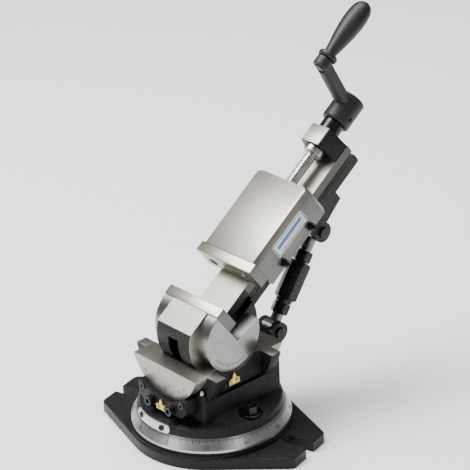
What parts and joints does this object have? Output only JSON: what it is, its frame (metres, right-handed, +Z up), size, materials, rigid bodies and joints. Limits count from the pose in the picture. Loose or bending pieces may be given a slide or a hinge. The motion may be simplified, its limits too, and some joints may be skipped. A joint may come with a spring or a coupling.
{
  "type": "three-way swivel and tilting machine vise",
  "caption": "Universal machine vise: a slotted graduated base, swivel body, rolling saddle and tilting vise bed with crank-driven sliding jaw and a turnbuckle support strut.",
  "frame": {"origin": "centre of the base's flat underside, on the swivel axis", "axes": "+Z up along the swivel axis, +X through the slotted ears; the swivel body and all above it rest turned -14.5 degrees about Z, and the vise bed rests tilted up 36 degrees"},
  "size_m": [0.304, 0.4061, 0.5169],
  "materials": {
    "cast_base": "rough-cast, semi-gloss black paint, machined seats",
    "ground_ring": "satin ground, engraved graduations",
    "cast_swivel": "semi-gloss black paint on rough casting",
    "cast_saddle": "black paint outside, ground top and arcs",
    "cast_vise": "ground faces, black paint between",
    "ground_steel": "fine ground, satin",
    "black_screws": "black oxide, slightly blue",
    "bright_steel": "turned, bright",
    "brown_screws": "bronzed oxide",
    "brass": "satin",
    "black_crank": "semi-gloss black",
    "black_handle": "glossy black",
    "bronze": "machined",
    "name_plate": "printed border, satin"
  },
  "bodies": {
    "base": {"base_casting": "cast_base", "graduated_ring": "ground_ring", "ring_screws": "black_screws"},
    "swivel": {"swivel_body": "cast_swivel", "pivot_bolt": "black_screws", "pivot_washer": "bright_steel", "index_plate": "bright_steel", "index_plate_screws": "black_screws", "swivel_t_bolts": "bright_steel", "swivel_washers": "bright_steel", "swivel_nuts": "bright_steel", "roll_clamp_bar": "cast_swivel", "roll_clamp_screws": "black_screws", "roll_lock_screws": "brown_screws", "corner_oilers": "bright_steel", "roll_pointer": "brass", "roll_pointer_screws": "brass"},
    "saddle": {"saddle_casting": "cast_saddle", "tilt_clamp_screws": "black_screws", "tilt_pointer": "brass", "tilt_pointer_screws": "brass", "strut_bracket": "cast_swivel", "bracket_screws": "black_screws", "strut_lower_pin": "bright_steel", "strut_lower_clip": "black_screws"},
    "vise": {"vise_body": "cast_vise", "tilt_disc_right": "ground_steel", "tilt_disc_left": "ground_steel", "fixed_jaw_plate": "ground_steel", "fixed_plate_screws": "black_screws", "bearing_block": "ground_steel", "bearing_block_screws": "black_screws", "bearing_bush": "bronze", "strut_upper_pin": "bright_steel", "strut_upper_clip": "black_screws"},
    "screw": {"lead_screw": "bright_steel", "thrust_collar": "bright_steel", "retaining_ring": "black_screws", "crank_arm": "black_crank", "crank_set_screw": "black_screws", "handle_spindle": "bright_steel"},
    "grip": {"handle_grip": "black_handle"},
    "jaw": {"movable_jaw": "cast_vise", "movable_jaw_plate": "ground_steel", "movable_plate_screws": "black_screws", "jaw_nut": "bronze", "keeper_plates": "ground_steel", "keeper_screws": "black_screws", "gib_strip": "ground_steel", "gib_screws": "black_screws", "gib_lock_nuts": "black_screws", "name_plate": "name_plate"},
    "strut_low": {"strut_lower_rod": "bright_steel"},
    "strut_nut": {"strut_lower_nut": "black_screws"},
    "strut_turn": {"turnbuckle": "black_screws", "strut_upper_nut": "black_screws"},
    "strut_up": {"strut_upper_rod": "bright_steel"}
  },
  "joints": [
    {"name": "swivel_turn", "type": "hinge", "parent": "base", "child": "swivel", "pos_m": [0, 0, 0.0385], "axis": [0, 0, 1], "continuous": true},
    {"name": "saddle_roll", "type": "hinge", "parent": "swivel", "child": "saddle", "pos_m": [0, 0, 0.1392], "axis": [0.2504, 0.9681, 0], "range_deg": [-45, 45]},
    {"name": "vise_tilt", "type": "hinge", "parent": "saddle", "child": "vise", "pos_m": [0, 0, 0.1514], "axis": [0.9681, -0.2504, 0], "range_deg": [-8, 9]},
    {"name": "screw_spin", "type": "hinge", "parent": "vise", "child": "screw", "pos_m": [0.05332, 0.20615, 0.34319], "axis": [0.2026, 0.7832, 0.5878], "range_deg": [-5085, 2250]},
    {"name": "jaw_slide", "type": "slide", "parent": "vise", "child": "jaw", "axis": [0.2026, 0.7832, 0.5878], "range_m": [-0.0566, 0.0251]},
    {"name": "grip_spin", "type": "hinge", "parent": "screw", "child": "grip", "pos_m": [0.06425, 0.24843, 0.47874], "axis": [0.2026, 0.7832, 0.5878], "continuous": true},
    {"name": "strut_swing", "type": "hinge", "parent": "saddle", "child": "strut_low", "pos_m": [0.02817, 0.10892, 0.1021], "axis": [0.9681, -0.2504, 0], "range_deg": [-9.6, 10.76]},
    {"name": "strut_nut_slide", "type": "slide", "parent": "strut_low", "child": "strut_nut", "axis": [0.1457, 0.5633, 0.8133], "range_m": [-0.0085, 0.00954]},
    {"name": "turnbuckle_spin", "type": "hinge", "parent": "strut_nut", "child": "strut_turn", "pos_m": [0.03807, 0.14722, 0.1574], "axis": [0.1457, 0.5633, 0.8133], "range_deg": [-1514, 1701]},
    {"name": "strut_up_slide", "type": "slide", "parent": "strut_nut", "child": "strut_up", "axis": [0.1457, 0.5633, 0.8133], "range_m": [-0.0085, 0.00954]}
  ],
  "couplings": [
    {"joint": "jaw_slide", "follows": "screw_spin", "m_per_rad": 0.00063662},
    {"joint": "strut_swing", "follows": "vise_tilt", "ratio": 1.1625},
    {"joint": "strut_nut_slide", "follows": "vise_tilt", "m_per_rad": 0.059444},
    {"joint": "turnbuckle_spin", "follows": "vise_tilt", "ratio": 186.75},
    {"joint": "strut_up_slide", "follows": "vise_tilt", "m_per_rad": 0.059444}
  ]
}
